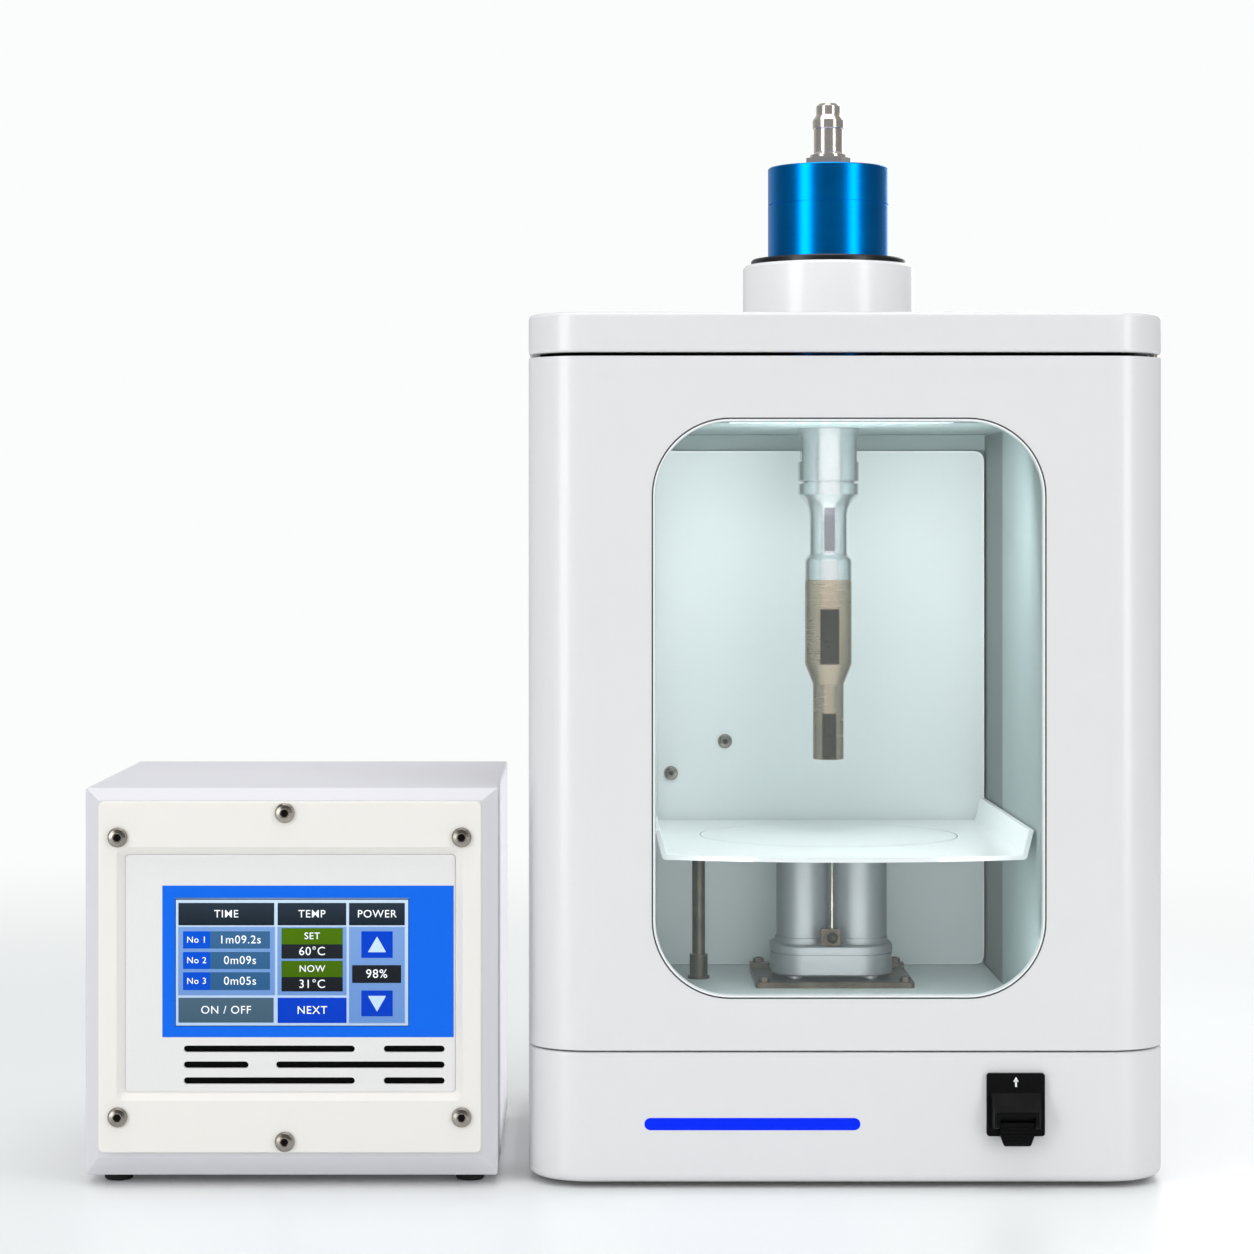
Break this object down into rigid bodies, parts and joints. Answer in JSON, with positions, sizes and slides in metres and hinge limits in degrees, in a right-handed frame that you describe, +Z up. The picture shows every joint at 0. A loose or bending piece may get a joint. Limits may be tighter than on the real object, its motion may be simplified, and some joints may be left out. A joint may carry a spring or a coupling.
{
  "type": "probe sonicator",
  "caption": "Probe sonicator: a touch-screen generator box beside a sound-proof cabinet with a hinged window door, a lift table and a blue ultrasonic transducer whose probe hangs inside.",
  "frame": {"origin": "bottom centre of the whole set's bounding box, on the surface it stands on", "axes": "+X to the right seen from the front, +Y to the back, +Z up; the fronts of both units face -Y"},
  "size_m": [0.567, 0.323, 0.585],
  "materials": {
    "cabinet_paint": "satin white paint",
    "chamber_paint": "gloss pale mint paint",
    "table_enamel": "gloss white enamel",
    "grey_foam": "open cell foam",
    "black_rubber": "matt rubber",
    "seal_rubber": "soft pale grey rubber",
    "ring_plastic": "polished black",
    "window_glass": "clear, a little green",
    "blue_anodised": "satin blue anodising",
    "nickel_plate": "nickel plate",
    "turned_aluminium": "turned and polished",
    "titanium": "turned titanium, brown-grey",
    "piezo_ceramic": "sintered ceramic",
    "dark_steel": "blackened steel",
    "bright_steel": "ground steel",
    "cast_aluminium": "bead blasted",
    "lamp_lens": "opal lens",
    "black_plastic": "fine textured black",
    "grey_steel": "grey primer",
    "case_paint": "satin light grey paint",
    "bezel_paint": "satin cream paint",
    "panel_plastic": "printed panel film",
    "screen_glass": "touch screen",
    "circuit_board": "green circuit board"
  },
  "bodies": {
    "frame": {"cabinet_base": "cabinet_paint", "cabinet_body": "cabinet_paint", "cabinet_lid": "cabinet_paint", "lid_collar": "cabinet_paint", "chamber_frame": "cabinet_paint", "chamber_walls": "chamber_paint", "chamber_back_panel": "chamber_paint", "chamber_ceiling": "chamber_paint", "chamber_floor": "chamber_paint", "acoustic_foam": "grey_foam", "cabinet_feet": "black_rubber", "generator_feet": "black_rubber", "seat_ring": "ring_plastic", "panel_sockets": "nickel_plate", "lift_plate": "dark_steel", "plate_nuts": "dark_steel", "guide_bush": "dark_steel", "stop_bracket": "dark_steel", "hinge_pins": "bright_steel", "back_panel_screws": "bright_steel", "bezel_screws": "bright_steel", "fan_guard": "bright_steel", "lift_gearbox": "cast_aluminium", "lift_gearbox_cover": "cast_aluminium", "screw_column": "cast_aluminium", "lift_motor": "cast_aluminium", "heat_sink": "cast_aluminium", "chamber_lamp": "lamp_lens", "switch_plate": "black_plastic", "power_inlet": "black_plastic", "fan_frame": "black_plastic", "base_bottom_plate": "grey_steel", "generator_case": "case_paint", "rear_panel": "case_paint", "front_bezel": "bezel_paint", "control_panel": "panel_plastic", "touch_screen": "screen_glass", "power_board": "circuit_board"},
    "front_door": {"front_door": "cabinet_paint", "door_window": "window_glass", "window_gasket": "seal_rubber", "door_seal": "seal_rubber"},
    "lift_table": {"lift_table": "table_enamel", "table_disc": "table_enamel", "lift_ram": "bright_steel", "guide_rod": "dark_steel", "trip_rod": "bright_steel"},
    "lead_screw": {"lead_screw": "bright_steel"},
    "transducer": {"transducer_housing": "blue_anodised", "transducer_cap": "blue_anodised", "cable_connector": "nickel_plate", "back_mass": "dark_steel", "piezo_rings": "piezo_ceramic", "transducer_bolts": "bright_steel", "front_mass": "turned_aluminium", "booster_horn": "turned_aluminium", "probe_tip": "titanium"},
    "lift_switch": {"switch_lever": "black_plastic"},
    "power_rocker": {"power_rocker": "black_plastic"},
    "fan_rotor": {"fan_rotor": "black_plastic"}
  },
  "joints": [
    {"name": "door_hinge", "type": "hinge", "parent": "frame", "child": "front_door", "pos_m": [0.2795, -0.1205, 0.253], "axis": [0, 0, 1], "range_deg": [0, 110]},
    {"name": "lift_slide", "type": "slide", "parent": "frame", "child": "lift_table", "axis": [0, 0, 1], "range_m": [0, 0.035]},
    {"name": "screw_turn", "type": "hinge", "parent": "frame", "child": "lead_screw", "pos_m": [0.10365, 0.0365, 0.13], "axis": [0, 0, 1], "range_deg": [0, 1576]},
    {"name": "transducer_lift", "type": "slide", "parent": "frame", "child": "transducer", "axis": [0, 0, 1], "range_m": [0, 0.3]},
    {"name": "lift_switch_tilt", "type": "hinge", "parent": "frame", "child": "lift_switch", "pos_m": [0.2026, -0.1561, 0.039], "axis": [1, 0, 0], "range_deg": [-6, 6], "stiffness_Nm_per_rad": 0.05},
    {"name": "power_switch_tilt", "type": "hinge", "parent": "frame", "child": "power_rocker", "pos_m": [-0.1135, 0.0645, 0.073], "axis": [1, 0, 0], "range_deg": [-16, 0]},
    {"name": "fan_spin", "type": "hinge", "parent": "frame", "child": "fan_rotor", "pos_m": [-0.2335, 0.0575, 0.14], "axis": [0, 1, 0], "continuous": true}
  ],
  "couplings": [
    {"joint": "screw_turn", "follows": "lift_slide", "rad_per_m": 785.4}
  ]
}
